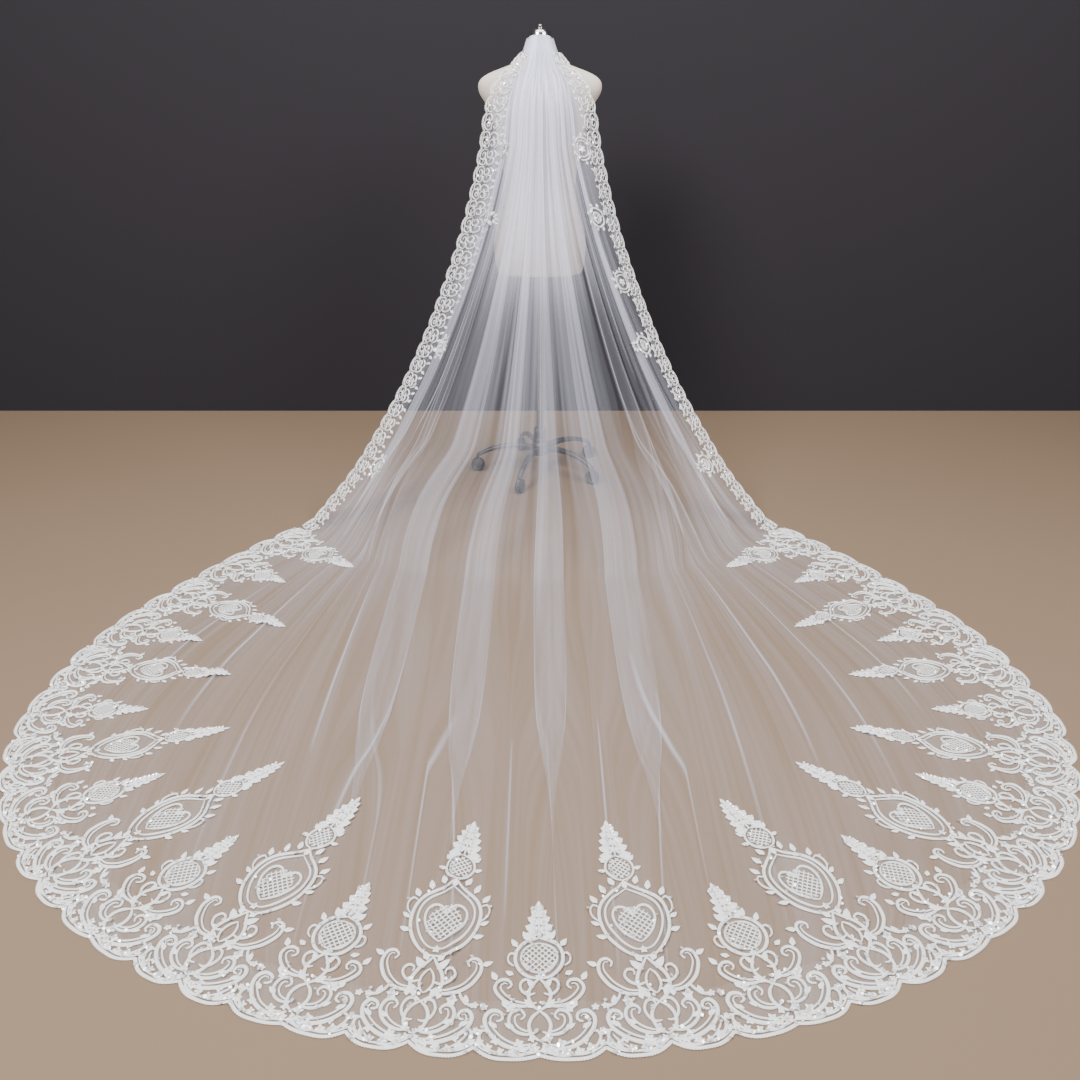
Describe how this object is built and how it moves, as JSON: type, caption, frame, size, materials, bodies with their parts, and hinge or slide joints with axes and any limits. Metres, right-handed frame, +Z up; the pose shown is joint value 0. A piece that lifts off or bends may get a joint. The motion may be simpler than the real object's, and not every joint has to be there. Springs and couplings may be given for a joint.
{
  "type": "bridal veil on dress form",
  "caption": "Cathedral-length bridal veil of soft net with a deep scalloped corded-lace border, gathered at the neck of a limbless dress form on a castered stand, its train spread on the floor.",
  "frame": {"origin": "centre of the footprint, on the floor under the train", "axes": "+Z up, +Y from the end of the train towards the stand, +X to the right seen from behind the form, across the train"},
  "size_m": [2.5192, 2.8748, 1.537],
  "materials": {
    "net": "sheer soft net",
    "corded_lace": "corded lace with sequins and beads",
    "band": "plain woven band",
    "form_cover": "smooth cream jersey cover",
    "cap_steel": "polished",
    "pole_steel": "satin",
    "sleeve": "matte black",
    "hub": "satin black",
    "legs": "satin black",
    "casters": "matte black"
  },
  "bodies": {
    "root": {"tulle": "net", "lace_train_end": "corded_lace", "lace_train_left": "corded_lace", "lace_train_right": "corded_lace", "lace_fall_left": "corded_lace", "lace_fall_right": "corded_lace", "gather_band": "band", "torso": "form_cover", "neck_cap": "cap_steel", "pole": "pole_steel", "pole_sleeve": "sleeve", "base_hub": "hub", "leg_1": "legs", "leg_2": "legs", "leg_3": "legs", "leg_4": "legs", "leg_5": "legs", "caster_1": "casters", "caster_2": "casters", "caster_3": "casters", "caster_4": "casters", "caster_5": "casters"}
  },
  "joints": []
}
